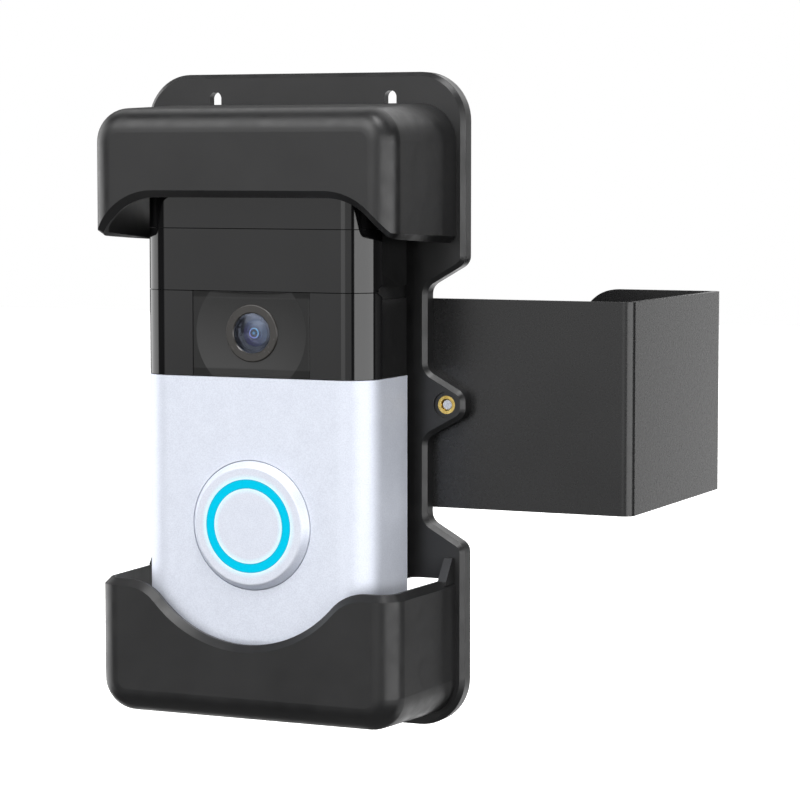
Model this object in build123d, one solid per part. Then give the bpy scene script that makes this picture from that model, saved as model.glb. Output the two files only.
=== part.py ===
from build123d import *
import os
from math import atan, cos, pi, sin, sqrt

os.makedirs("parts", exist_ok=True)

# Video doorbell in a door mount. Millimetres. The origin is on the face that bears on the door, on the
# holder's centre line, halfway up the clamp. +X points to the door's edge, +Y into the door, +Z up.
# The doorbell looks along -Y.

# ---- Driving dimensions: layers from the door outwards ----
FRONT_PAD_T = 1.0           # foam on the clamp's front leg
SHEET_T = 1.8               # clamp sheet steel
PLATE_T = 4.4               # holder back plate over its rim
PLATE_WALL = 2.4            # holder back plate between rim and ribs
BRACKET_T = 5.1             # doorbell's own mounting bracket
BELL_T = 28.2               # doorbell with its bracket
CLAMP_FRONT_Y = -FRONT_PAD_T - SHEET_T
PLATE_FRONT_Y = CLAMP_FRONT_Y - PLATE_T
BELL_REAR_Y = PLATE_FRONT_Y - BRACKET_T
BELL_FRONT_Y = PLATE_FRONT_Y - BELL_T

# ---- Holder ----
PLATE_HALF_W = 43.8
PLATE_TOP_Z = 81.2
PLATE_BOTTOM_Z = -79.8
PLATE_CORNER_R = 12.0
PLATE_EDGE_BEVEL = 1.05
PLATE_RIM = 2.0
WAIST_HALF_W = 33.7         # back plate between the hood part, the tabs and the cradle part
WAIST_IN_Z, WAIST_OUT_Z = 28.8, 34.6
TAB_BASE_Z, TAB_TIP_Z = 8.35, 2.75
NOTCH_R = 3.2
TAB_X = 39.0                # centre of the tab's insert
VISOR_ROOT_HALF_W = 41.6    # hood and cradle where they leave the back plate
VISOR_CORNER_R = 9.5
VISOR_TAPER = 2.4           # degrees
VISOR_WALL = 2.5
VISOR_FRONT_R = 6.0         # rounding round the front of the hood and cradle
HOOD_ROOT_Z, HOOD_FRONT_Y = 73.6, -42.9
CRADLE_ROOT_Z, CRADLE_FRONT_Y = -77.2, -40.6
ARCH_TOP_Z, ARCH_SIDE_Z = 50.9, 41.2
ARCH_FLAT_HALF_W = 29.3     # to the corner before it is rounded
ARCH_TOP_R, ARCH_SIDE_R = 15.3, 2.0
ARCH_TILT = 2.5             # degrees: the arch drops a little towards the back plate
LIP_R, LIP_CENTRE_Z = 31.0, -26.2
LIP_BLEND_R, LIP_SIDE_Z = 12.0, -42.9
RIM_BEVEL = 1.6
WINDOW_HALF_W = 37.5        # openings in the back plate behind the hood and the cradle
HOOD_WINDOW_TOP_Z, CRADLE_WINDOW_BOTTOM_Z = 70.0, -73.8
WINDOW_RIB = 1.4            # left standing round those openings, behind the plate
SLOT_X, SLOT_W, SLOT_TOP_Z, SLOT_BOTTOM_Z = 24.15, 3.25, 76.8, 71.6
INSERT_R, INSERT_BORE_R, INSERT_SINK_R = 2.25, 1.5, 3.2
FIXING_R, FIXING_HEAD_R, FIXING_HEAD_T = 1.45, 2.75, 1.6

# ---- Clamp ----
CLAMP_HALF_H = 25.8
CLAMP_LEFT_X, CLAMP_WEB_X = -45.0, 85.6
CLAMP_DEPTH = 68.9
CLAMP_BEND_R = 2.5
REAR_LEG_X = 47.3
CLAMP_REAR_Y = CLAMP_FRONT_Y + CLAMP_DEPTH
SCREW_X, SCREW_Z, SCREW_R = 66.0, 13.0, 2.5
DOOR_T = 44.5               # door thickness that the clamp is set to
PRESSURE_PAD_T, PRESSURE_PLATE_T = 1.0, 3.0
PRESSURE_HALF_W, PRESSURE_HALF_H = 12.0, 22.0
PLATE_REAR_OF_DOOR = DOOR_T + PRESSURE_PAD_T + PRESSURE_PLATE_T
SCREW_HEAD_Y, SCREW_HEAD_R, SCREW_HEAD_T = 86.0, 4.25, 5.0
TIP_R = 1.6                 # screw's turned-down end, held in the pressure plate by a ring
TIP_END_Y = DOOR_T + PRESSURE_PAD_T + 0.3
RING_R, RING_T, RECESS_T = 3.0, 0.6, 1.5
RING_Y = PLATE_REAR_OF_DOOR - (PRESSURE_PLATE_T - RECESS_T) - 0.05

# ---- Doorbell ----
BELL_HALF_W, BELL_TOP_Z, BELL_BOTTOM_Z = 31.0, 61.8, -64.7
BELL_CORNER_R = 10.0        # seen from the front
BELL_EDGE_R = 8.2           # from the front face round to the sides
COVER_WALL = 1.6
BACKING_T = 1.2             # camera cover's plate behind the camera panel
COVER_REAR_Y = -26.9        # joint between the front covers and the rear housing
SEAM = 0.2
SEAM_CAP_Z, SEAM_LENS_Z, SEAM_SILVER_Z = 43.3, 28.2, 7.45
CAMERA_Z, CAMERA_PANEL_HALF_W = 18.1, 15.8
PANEL_SEAM, PANEL_BEVEL = 0.06, 0.16
DISH_R, DISH_DEPTH = 14.8, 0.9
DISH_HALF_H, DISH_SLOPE = 9.9, 0.25     # the dish stops short of the panel's top and bottom
LENS_RING_R, LENS_GLASS_R = 7.0, 4.85
LENS_RING_FRONT_Y = BELL_FRONT_Y + 0.3
BARREL_FLARE_R, BARREL_R = 6.4, 5.6
BUTTON_Z = -28.45
BUTTON_HOLE_R, BUTTON_BASE_R, BUTTON_TOP_R = 15.9, 15.7, 14.35
BUTTON_FLANGE_R, FLANGE_T = 16.9, 0.8
BUTTON_FRONT_Y = BELL_FRONT_Y - 1.9
GLOW_OUTER_R, GLOW_INNER_R = 11.38, 9.15
HOUSING_WALL = 1.8
SPEAKER_Z = -53.0
HOUSING_INSET = 1.8         # the faceplate wraps round the housing's lower part
CAVITY_INSET = 4.6          # the housing's rim is wide enough for the gasket
FRAME_INSET = 2.9
FRAME_FRONT_Y, FRAME_REAR_Y = -29.9, -27.9
SENSOR_FRONT_Y = -26.5
BOARD_FRONT_Y, BOARD_REAR_Y = -23.6, -22.4
STEM_END_Y = -27.3
STEM_R, PLUNGER_R = 2.5, 1.7
BRACKET_SCREWS = [(x, z) for x in (-22, 22) for z in (-36, 38)]
HOUSING_SCREWS = [(x, z) for x in (-23.5, 23.5) for z in (-56.5, 53.6)]
TERMINALS = [(-8, 30), (8, 30)]
TERMINAL_R, TERMINAL_HEAD_R = 1.5, 2.6
BOSS_SCREW_R, BOSS_HEAD_R, BOSS_HEAD_SINK = 1.0, 1.9, 1.5   # screws that hold the housing to the front frame
BRACKET_SCREW_R, BRACKET_HEAD_R = 1.9, 3.6
BRACKET_FLOOR_T, BRACKET_BOSS_T = 2.0, 2.9
SECURITY_X, SECURITY_Y, SECURITY_R = 14.0, -20.0, 1.3       # screws up into the faceplate's foot
USB_HALF_W, USB_LOW_Z, USB_HIGH_Z = 3.8, 44.5, 47.5
MOTION_X, MOTION_Z, MOTION_R = 11.0, 35.7, 4.5
MIC_X, MIC_Z = 22.5, 27.8
CLEAR = 0.1                 # between pieces that only lie near each other
RUN = 0.05                  # radial running clearance
CAP_REAR_Y = BELL_FRONT_Y + COVER_WALL + CLEAR + FLANGE_T


# ---- Helpers ----
def facing(y):
    """Plane that looks out at the visitor, local x = X and local y = Z."""
    return Plane(origin=(0, y, 0), x_dir=(1, 0, 0), z_dir=(0, -1, 0))


def slab(sketch, rear_y, front_y):
    """Sketch in X and Z, extruded from rear_y out to front_y."""
    return extrude(facing(rear_y) * sketch, amount=rear_y - front_y)


def rod(x, z, radius, rear_y, front_y):
    return slab(Pos(x, z) * Circle(radius), rear_y, front_y)


def tube(x, z, outer_r, inner_r, rear_y, front_y):
    return slab(Pos(x, z) * (Circle(outer_r) - Circle(inner_r)), rear_y, front_y)


def panel_sketch(half_w, low_z, high_z, radius):
    middle = (low_z + high_z) / 2
    return Pos(0, middle) * RectangleRounded(2 * half_w, high_z - low_z, radius)


def block(half_w, low_z, high_z, rear_y, front_y, x=0.0):
    size = Rectangle(2 * half_w, high_z - low_z)
    return slab(Pos(x, (low_z + high_z) / 2) * size, rear_y, front_y)


def group(solids):
    return Compound(children=list(solids))


def both_sides(make):
    return [make(-1), make(1)]


def front_face(solid):
    return solid.faces().sort_by(Axis.Y)[0]


def soften(solid, face, radius):
    return fillet(face.outer_wire().edges(), radius)


def half_band(low_z, high_z):
    """Everything between two heights, to cut the doorbell's covers from one form."""
    return block(100, low_z, high_z, 20, -100)


# ---- Holder ----
def plate_outline():
    right = [
        (PLATE_HALF_W, PLATE_TOP_Z, PLATE_CORNER_R),
        (PLATE_HALF_W, WAIST_OUT_Z, NOTCH_R),
        (WAIST_HALF_W, WAIST_IN_Z, NOTCH_R),
        (WAIST_HALF_W, TAB_BASE_Z, NOTCH_R),
        (PLATE_HALF_W, TAB_TIP_Z, NOTCH_R),
        (PLATE_HALF_W, -TAB_TIP_Z, NOTCH_R),
        (WAIST_HALF_W, -TAB_BASE_Z, NOTCH_R),
        (WAIST_HALF_W, -WAIST_IN_Z, NOTCH_R),
        (PLATE_HALF_W, -WAIST_OUT_Z, NOTCH_R),
        (PLATE_HALF_W, PLATE_BOTTOM_Z, PLATE_CORNER_R),
    ]
    corners = right + [(-x, z, r) for x, z, r in reversed(right)]
    points = [(x, z) for x, z, r in corners]
    radii = [r for x, z, r in corners]
    return make_face(FilletPolyline(*points, radius=radii, close=True))


def arch_profile():
    """What the hood leaves open below it, in X and Z."""
    side_x = ARCH_FLAT_HALF_W + ARCH_TOP_Z - ARCH_SIDE_Z
    points = [(-60, ARCH_SIDE_Z), (-side_x, ARCH_SIDE_Z), (-ARCH_FLAT_HALF_W, ARCH_TOP_Z),
              (ARCH_FLAT_HALF_W, ARCH_TOP_Z), (side_x, ARCH_SIDE_Z), (60, ARCH_SIDE_Z), (60, 0), (-60, 0)]
    radii = [0, ARCH_SIDE_R, ARCH_TOP_R, ARCH_TOP_R, ARCH_SIDE_R, 0, 0, 0]
    return make_face(FilletPolyline(*points, radius=radii, close=True))


def lip_profile():
    """What the cradle leaves open above it: a round dip between two level shoulders."""
    drop = LIP_CENTRE_Z - (LIP_SIDE_Z - LIP_BLEND_R)
    reach = LIP_R + LIP_BLEND_R
    blend_x = sqrt(reach ** 2 - drop ** 2)
    meet_x = blend_x * LIP_R / reach
    meet_z = LIP_CENTRE_Z - drop * LIP_R / reach
    half_turn = atan(blend_x / drop) / 2
    mid_x = blend_x - LIP_BLEND_R * sin(half_turn)
    mid_z = LIP_SIDE_Z - LIP_BLEND_R + LIP_BLEND_R * cos(half_turn)
    lip = [
        Line((-60, LIP_SIDE_Z), (-blend_x, LIP_SIDE_Z)),
        ThreePointArc((-blend_x, LIP_SIDE_Z), (-mid_x, mid_z), (-meet_x, meet_z)),
        ThreePointArc((-meet_x, meet_z), (0, LIP_CENTRE_Z - LIP_R), (meet_x, meet_z)),
        ThreePointArc((meet_x, meet_z), (mid_x, mid_z), (blend_x, LIP_SIDE_Z)),
        Line((blend_x, LIP_SIDE_Z), (60, LIP_SIDE_Z)),
        Polyline((60, LIP_SIDE_Z), (60, 0), (-60, 0), (-60, LIP_SIDE_Z)),
    ]
    return make_face([edge for part in lip for edge in part.edges()])


def visor(root_z, front_y, inset=0.0):
    """Solid form of the hood (root_z above 0) or the cradle (below), tapering forwards."""
    side = 1 if root_z > 0 else -1
    near_z = 20 * side
    far_z = root_z - side * inset
    half_w = VISOR_ROOT_HALF_W - inset
    corner_r = VISOR_CORNER_R - inset
    sketch = Pos(0, (near_z + far_z) / 2) * RectangleRounded(2 * half_w, abs(far_z - near_z), corner_r)
    depth = PLATE_FRONT_Y - front_y - inset
    form = extrude(facing(PLATE_FRONT_Y) * sketch, amount=depth, taper=VISOR_TAPER)
    rounding = max(VISOR_FRONT_R - inset, 1.0)
    return soften(form, front_face(form), rounding)


def hood_opening():
    prism = slab(arch_profile(), PLATE_FRONT_Y + 10, HOOD_FRONT_Y - 20)
    pivot = Pos(0, HOOD_FRONT_Y, ARCH_TOP_Z)
    return pivot * Rot(-ARCH_TILT, 0, 0) * pivot.inverse() * prism


def cradle_opening():
    return slab(lip_profile(), PLATE_FRONT_Y, CRADLE_FRONT_Y - 20)


def bevelled(form, opening):
    """Cut the opening from the form, and bevel the new edge all round its outside."""
    body = form - opening
    rim = [edge for edge in body.edges() - form.edges() if edge.center().Y < PLATE_FRONT_Y - 0.5]
    return chamfer(rim, RIM_BEVEL)


def gussets():
    """Small webs where the cradle's side walls meet the back plate."""
    rise, reach, wall = 5.3, 5.0, VISOR_WALL - 0.3
    web = Polyline((PLATE_FRONT_Y, LIP_SIDE_Z - 1), (PLATE_FRONT_Y, LIP_SIDE_Z + rise),
                   (PLATE_FRONT_Y - 1, LIP_SIDE_Z + rise), (PLATE_FRONT_Y - reach, LIP_SIDE_Z),
                   (PLATE_FRONT_Y - reach, LIP_SIDE_Z - 1), close=True)
    across = Plane(origin=(0, 0, 0), x_dir=(0, 1, 0), z_dir=(1, 0, 0))
    form = extrude(across * make_face(web), amount=wall / 2, both=True)
    middle = VISOR_ROOT_HALF_W - VISOR_WALL / 2 - 0.2
    return both_sides(lambda s: Pos(s * middle, 0, 0) * form)


def hood_window():
    opening = panel_sketch(WINDOW_HALF_W, ARCH_SIDE_Z - 3, HOOD_WINDOW_TOP_Z, 6.0)
    return opening - arch_profile()


def cradle_window():
    opening = panel_sketch(WINDOW_HALF_W, CRADLE_WINDOW_BOTTOM_Z, LIP_SIDE_Z + 12, 6.0)
    return opening - lip_profile()


def holder_shell():
    outline = plate_outline()
    plate = slab(outline, CLAMP_FRONT_Y, PLATE_FRONT_Y)
    plate = chamfer(front_face(plate).outer_wire().edges(), PLATE_EDGE_BEVEL)

    pocket = offset(outline, -PLATE_RIM)
    pocket -= offset(hood_window(), WINDOW_RIB) + offset(cradle_window(), WINDOW_RIB)
    for z in (-18, 0, 18):
        pocket -= Pos(0, z) * Rectangle(120, 1.6)
    for x in (-12, 12):
        pocket -= Pos(x, 0) * Rectangle(1.6, 130)
    for x, z in BRACKET_SCREWS:
        pocket -= Pos(x, z) * Circle(4.2)
    for x in (-TAB_X, TAB_X):
        pocket -= Pos(x, 0) * Circle(INSERT_R + 2.0)
    plate -= slab(pocket, CLAMP_FRONT_Y, CLAMP_FRONT_Y - (PLATE_T - PLATE_WALL))

    for window in (hood_window(), cradle_window()):
        plate -= slab(window, CLAMP_FRONT_Y, PLATE_FRONT_Y)
    for x in (-SLOT_X, SLOT_X):
        slot = Pos(x, (SLOT_TOP_Z + SLOT_BOTTOM_Z) / 2) * RectangleRounded(
            SLOT_W, SLOT_TOP_Z - SLOT_BOTTOM_Z, SLOT_W / 2 - 0.01)
        plate -= slab(slot, CLAMP_FRONT_Y, PLATE_FRONT_Y)
    for x, z in BRACKET_SCREWS:
        plate -= rod(x, z, BRACKET_SCREW_R, CLAMP_FRONT_Y - 0.5, PLATE_FRONT_Y)
    for x in (-TAB_X, TAB_X):
        plate -= rod(x, 0, INSERT_R, CLAMP_FRONT_Y, PLATE_FRONT_Y)
        plate -= rod(x, 0, INSERT_SINK_R, PLATE_FRONT_Y + 0.5, PLATE_FRONT_Y)

    hood = bevelled(visor(HOOD_ROOT_Z, HOOD_FRONT_Y), hood_opening())
    hood -= visor(HOOD_ROOT_Z, HOOD_FRONT_Y, VISOR_WALL)
    cradle = bevelled(visor(CRADLE_ROOT_Z, CRADLE_FRONT_Y), cradle_opening())
    cradle -= visor(CRADLE_ROOT_Z, CRADLE_FRONT_Y, VISOR_WALL)
    shell = plate + hood + cradle
    for web in gussets():
        shell += web
    return shell


def tab_inserts():
    def insert(side):
        return tube(side * TAB_X, 0, INSERT_R, INSERT_BORE_R, CLAMP_FRONT_Y, PLATE_FRONT_Y + 0.5)
    return group(both_sides(insert))


def clamp_fixing_screws():
    def screw(side):
        neck_y = -FRONT_PAD_T - FIXING_HEAD_T
        head = Pos(side * TAB_X, 0, 0) * slab_cone(FIXING_HEAD_R, FIXING_R, -FRONT_PAD_T, neck_y)
        shank = rod(side * TAB_X, 0, FIXING_R, neck_y, PLATE_FRONT_Y + 1.1)
        tip = chamfer(front_face(shank).edges(), 0.3)
        recess = Pos(side * TAB_X, 0, 0) * slab_polygon(6, 1.15, -FRONT_PAD_T, -FRONT_PAD_T - 1.2)
        return head + tip - recess
    return group(both_sides(screw))


def slab_cone(rear_r, front_r, rear_y, front_y):
    """Cone about the Y direction through the origin."""
    profile = Polyline((0, rear_y), (rear_r, rear_y), (front_r, front_y), (0, front_y), close=True)
    return revolve(make_face(profile), Axis.Y)


def slab_polygon(sides, radius, rear_y, front_y):
    return slab(RegularPolygon(radius, sides, major_radius=False), rear_y, front_y)


# ---- Clamp ----
def door_clamp():
    inner_r = CLAMP_BEND_R - SHEET_T
    corners = [
        (CLAMP_LEFT_X, CLAMP_FRONT_Y, 0),
        (CLAMP_WEB_X, CLAMP_FRONT_Y, CLAMP_BEND_R),
        (CLAMP_WEB_X, CLAMP_REAR_Y, CLAMP_BEND_R),
        (REAR_LEG_X, CLAMP_REAR_Y, 0),
        (REAR_LEG_X, CLAMP_REAR_Y - SHEET_T, 0),
        (CLAMP_WEB_X - SHEET_T, CLAMP_REAR_Y - SHEET_T, inner_r),
        (CLAMP_WEB_X - SHEET_T, -FRONT_PAD_T, inner_r),
        (CLAMP_LEFT_X, -FRONT_PAD_T, 0),
    ]
    points = [(x, y) for x, y, r in corners]
    radii = [r for x, y, r in corners]
    section = make_face(FilletPolyline(*points, radius=radii, close=True))
    clamp = extrude(section, amount=CLAMP_HALF_H, both=True)

    along_y = clamp.edges().filter_by(Axis.Y)
    rear_corners = [e for e in along_y if abs(e.center().X - REAR_LEG_X) < 0.1]
    clamp = fillet(rear_corners, 10.0)
    front_corners = [e for e in clamp.edges().filter_by(Axis.Y) if abs(e.center().X - CLAMP_LEFT_X) < 0.1]
    clamp = fillet(front_corners, 5.0)

    for side in (-1, 1):
        clamp -= rod(side * TAB_X, 0, FIXING_R + CLEAR, 0, CLAMP_FRONT_Y)
        sink = slab_cone(FIXING_HEAD_R + CLEAR, FIXING_R + CLEAR, -FRONT_PAD_T, -FRONT_PAD_T - FIXING_HEAD_T)
        clamp -= Pos(side * TAB_X, 0, 0) * sink
        clamp -= rod(SCREW_X, side * SCREW_Z, 3.5, CLAMP_REAR_Y, CLAMP_REAR_Y - SHEET_T)
    return clamp


def front_pad():
    left, right = CLAMP_LEFT_X + 2, CLAMP_WEB_X - SHEET_T - 2.5
    sketch = Pos((left + right) / 2, 0) * RectangleRounded(right - left, 2 * CLAMP_HALF_H - 4, 4.0)
    for x in (-TAB_X, TAB_X):
        sketch -= Pos(x, 0) * Circle(3.5)
    return slab(sketch, 0, -FRONT_PAD_T)


def rivet_nuts():
    flange_y = CLAMP_REAR_Y - SHEET_T
    barrel_end_y = CLAMP_REAR_Y + 4.0

    def nut(side):
        z = side * SCREW_Z
        bore_r = SCREW_R + RUN
        flange = tube(SCREW_X, z, 4.6, bore_r, flange_y, flange_y - 0.8)
        barrel = tube(SCREW_X, z, 3.5, bore_r, barrel_end_y, flange_y)
        bulge = tube(SCREW_X, z, 4.3, bore_r, CLAMP_REAR_Y + 1.6, CLAMP_REAR_Y)
        return flange + barrel + bulge
    return group(both_sides(nut))


def pressure_plate():
    sketch = Pos(SCREW_X, 0) * RectangleRounded(2 * PRESSURE_HALF_W, 2 * PRESSURE_HALF_H, 4.0)
    pad_y = DOOR_T + PRESSURE_PAD_T
    plate = slab(sketch, PLATE_REAR_OF_DOOR, pad_y)
    for side in (-1, 1):
        plate -= rod(SCREW_X, side * SCREW_Z, TIP_R + RUN, PLATE_REAR_OF_DOOR, pad_y)
        plate -= rod(SCREW_X, side * SCREW_Z, RING_R + 0.4, pad_y + RECESS_T, pad_y)
    rear_edges = plate.faces().sort_by(Axis.Y)[-1].outer_wire().edges()
    return chamfer(rear_edges, 0.5)


def pressure_pad():
    sketch = Pos(SCREW_X, 0) * RectangleRounded(2 * PRESSURE_HALF_W - 1, 2 * PRESSURE_HALF_H - 1, 3.5)
    pad = slab(sketch, DOOR_T + PRESSURE_PAD_T, DOOR_T)
    for i in range(-4, 5):
        groove = block(PRESSURE_HALF_W - 2, 4.4 * i - 0.5, 4.4 * i + 0.5, DOOR_T + 0.4, DOOR_T, SCREW_X)
        pad -= groove
    return pad


def clamp_screw(side):
    z = side * SCREW_Z
    tip = rod(SCREW_X, z, TIP_R, PLATE_REAR_OF_DOOR + 0.05, TIP_END_Y)
    groove = tube(SCREW_X, z, TIP_R + 1, TIP_R - 0.35, RING_Y, RING_Y - RING_T)
    shank = rod(SCREW_X, z, SCREW_R, SCREW_HEAD_Y, PLATE_REAR_OF_DOOR + 0.05)
    shank = chamfer(front_face(shank).edges(), 0.5)
    head = rod(SCREW_X, z, SCREW_HEAD_R, SCREW_HEAD_Y + SCREW_HEAD_T, SCREW_HEAD_Y)
    head = fillet(head.faces().sort_by(Axis.Y)[-1].edges(), 0.5)
    socket = slab(Pos(SCREW_X, z) * RegularPolygon(2.0, 6, major_radius=False),
                  SCREW_HEAD_Y + SCREW_HEAD_T, SCREW_HEAD_Y + 2.0)
    return shank + (tip - groove) + head - socket


def retaining_ring(side):
    ring = Circle(RING_R) - Circle(TIP_R - 0.35)
    ring -= Pos(0, -2) * Rectangle(1.8, 4)
    return slab(Pos(SCREW_X, side * SCREW_Z) * ring, RING_Y, RING_Y - RING_T)


# ---- Doorbell housing and covers ----
def bell_sketch(inset):
    return panel_sketch(BELL_HALF_W - inset, BELL_BOTTOM_Z + inset, BELL_TOP_Z - inset, BELL_CORNER_R - inset)


def bell_form(inset, rear_y):
    form = slab(bell_sketch(inset), rear_y, BELL_FRONT_Y + inset)
    return soften(form, front_face(form), BELL_EDGE_R - inset)


def cover_shell(rear_y):
    return bell_form(0.0, rear_y) - bell_form(COVER_WALL, rear_y)


def top_cap():
    return cover_shell(COVER_REAR_Y) & half_band(SEAM_CAP_Z + SEAM / 2, 100)


def motion_lens():
    band = cover_shell(COVER_REAR_Y) & half_band(SEAM_LENS_Z + SEAM / 2, SEAM_CAP_Z - SEAM / 2)
    return band - side_tips()


def side_tips():
    """Pointed ends of the side slots where they run into the covers."""
    point = Polyline((COVER_REAR_Y + 0.1, 26.9), (COVER_REAR_Y + 0.1, 29.9), (COVER_REAR_Y - 3.1, 28.6),
                     close=True)
    across = Plane(origin=(0, 0, 0), x_dir=(0, 1, 0), z_dir=(1, 0, 0))
    form = extrude(across * make_face(point), amount=1.0)
    left, right = Pos(-BELL_HALF_W, 0, 0) * form, Pos(BELL_HALF_W - 1.0, 0, 0) * form
    return left + right


def camera_cover():
    """Side covers of the camera band, joined behind the camera panel by a backing plate."""
    low, high = SEAM_SILVER_Z + SEAM / 2, SEAM_LENS_Z - SEAM / 2
    band = cover_shell(COVER_REAR_Y) & half_band(low, high)
    band -= block(CAMERA_PANEL_HALF_W + PANEL_SEAM / 2, 0, 60, BELL_FRONT_Y + 3, BELL_FRONT_Y)
    backing_y = BELL_FRONT_Y + COVER_WALL + CLEAR
    backing = block(CAMERA_PANEL_HALF_W + 3, low, high, backing_y + BACKING_T, backing_y)
    for side in (-1, 1):
        x = side * (CAMERA_PANEL_HALF_W + 2)
        backing += block(1.0, low, high, backing_y, backing_y - 0.5, x)
    backing -= rod(0, CAMERA_Z, BARREL_FLARE_R + CLEAR, 0, -60)
    return band + backing - side_tips()


def camera_panel():
    """Middle of the camera band, dished round the lens."""
    low, high = SEAM_SILVER_Z + SEAM / 2, SEAM_LENS_Z - SEAM / 2
    half_w = CAMERA_PANEL_HALF_W - PANEL_SEAM / 2
    panel = block(half_w, low, high, BELL_FRONT_Y + COVER_WALL, BELL_FRONT_Y)
    panel = chamfer(front_face(panel).edges().filter_by(Axis.Z), PANEL_BEVEL)
    panel -= dish()
    return panel - rod(0, CAMERA_Z, LENS_RING_R, BELL_FRONT_Y + 5, BELL_FRONT_Y)


def dish():
    """Shallow ball form, with a slope where it stops above and below the lens."""
    ball_r = (DISH_R ** 2 + DISH_DEPTH ** 2) / (2 * DISH_DEPTH)
    ball = Pos(0, DISH_DEPTH - ball_r, 0) * Sphere(ball_r)
    slope = DISH_SLOPE / DISH_DEPTH
    section = Polyline((-1, DISH_HALF_H + slope), (DISH_DEPTH, DISH_HALF_H - DISH_SLOPE),
                       (DISH_DEPTH, DISH_SLOPE - DISH_HALF_H), (-1, -DISH_HALF_H - slope), close=True)
    across = Plane(origin=(0, 0, 0), x_dir=(0, 1, 0), z_dir=(1, 0, 0))
    trough = extrude(across * make_face(section), amount=DISH_R + 1, both=True)
    return Pos(0, BELL_FRONT_Y, CAMERA_Z) * (ball & trough)


def lens_bezel():
    """Flat ring, a little proud of the dish, with its outer edge rounded and its inner edge bevelled."""
    ring = tube(0, CAMERA_Z, LENS_RING_R, LENS_GLASS_R, BELL_FRONT_Y + COVER_WALL, LENS_RING_FRONT_Y)
    ring = fillet(front_face(ring).outer_wire().edges(), 0.35)
    return chamfer(front_face(ring).inner_wires().edges(), 0.25)


def lens_glass():
    front = BELL_FRONT_Y + 0.35
    disc = rod(0, CAMERA_Z, LENS_GLASS_R, front + 1.2, front + 0.2)
    ball_r = 16.0
    dome = Pos(0, front - 0.5 + ball_r, CAMERA_Z) * Sphere(ball_r)
    column = rod(0, CAMERA_Z, LENS_GLASS_R, front + 0.4, front - 1)
    return disc + (dome & column)


def lens_barrel():
    front = BELL_FRONT_Y + COVER_WALL + CLEAR
    flare = tube(0, CAMERA_Z, BARREL_FLARE_R, 4.2, front + 2.5, front)
    barrel = rod(0, CAMERA_Z, BARREL_R, SENSOR_FRONT_Y, front + 2.5)
    return flare + barrel


def faceplate():
    shell = cover_shell(BELL_REAR_Y) & half_band(-100, SEAM_SILVER_Z - SEAM / 2)
    shell -= rod(0, BUTTON_Z, BUTTON_HOLE_R, BELL_FRONT_Y + 3, BELL_FRONT_Y)
    for x in (-SECURITY_X, SECURITY_X):
        shell -= Pos(x, SECURITY_Y, BELL_BOTTOM_Z) * Cylinder(SECURITY_R + CLEAR, 8)
        shell -= Pos(x, SECURITY_Y, BELL_BOTTOM_Z) * Cylinder(SECURITY_R + 1, 1.6)
    for i in range(-2, 3):
        shell -= Pos(5 * i, -30, BELL_BOTTOM_Z) * Box(3.0, 1.2, 8)
    return shell


def rear_housing():
    upper = bell_sketch(0.25) & Pos(0, SEAM_SILVER_Z + SEAM / 2 + 50) * Rectangle(100, 100)
    lower = bell_sketch(HOUSING_INSET)
    tub = slab(upper + lower, BELL_REAR_Y, COVER_REAR_Y + 0.2)
    cavity = bell_sketch(CAVITY_INSET)
    for x, z in HOUSING_SCREWS:
        cavity -= Pos(x, z) * Circle(3.2)
    inside_y = BELL_REAR_Y - HOUSING_WALL
    tub -= slab(cavity, inside_y, COVER_REAR_Y)
    for x, z in HOUSING_SCREWS:
        tub -= rod(x, z, BOSS_SCREW_R, BELL_REAR_Y, COVER_REAR_Y)
        tub -= rod(x, z, BOSS_HEAD_R + 0.2, BELL_REAR_Y, BELL_REAR_Y - BOSS_HEAD_SINK)
    for x, z in TERMINALS:
        tub -= rod(x, z, TERMINAL_R, BELL_REAR_Y, inside_y - 1)
    tub -= block(USB_HALF_W, USB_LOW_Z, USB_HIGH_Z, BELL_REAR_Y, inside_y - 1)
    for x in (-SECURITY_X, SECURITY_X):
        tub -= Pos(x, SECURITY_Y, BELL_BOTTOM_Z + 3) * Cylinder(SECURITY_R, 6)
    return tub - side_slots()


def side_slots():
    """A level slot in each side of the housing, with a sloping scoop above it."""
    low, high, crest, depth = 26.3, 29.4, 34.0, 1.2
    slot = Pos(0, (BELL_REAR_Y + COVER_REAR_Y) / 2, (low + high) / 2) * Box(
        depth * 2, BELL_REAR_Y - COVER_REAR_Y, high - low)
    front_y = COVER_REAR_Y
    corner = [Vector(0, front_y, high), Vector(0, BELL_REAR_Y, high), Vector(0, front_y, crest)]
    deep = Vector(depth, front_y, high)

    def scoop(side):
        apex = Vector(side * (BELL_HALF_W + 0.1) - side * deep.X, deep.Y, deep.Z)
        base = [Vector(side * (BELL_HALF_W + 0.1), p.Y, p.Z) for p in corner]
        faces = [Face(Wire.make_polygon(triangle)) for triangle in
                 ([base[0], base[1], base[2]], [base[0], base[1], apex],
                  [base[1], base[2], apex], [base[2], base[0], apex])]
        return Solid(Shell(faces))

    return (Pos(-BELL_HALF_W, 0, 0) * slot + Pos(BELL_HALF_W, 0, 0) * slot + scoop(-1) + scoop(1))


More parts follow.
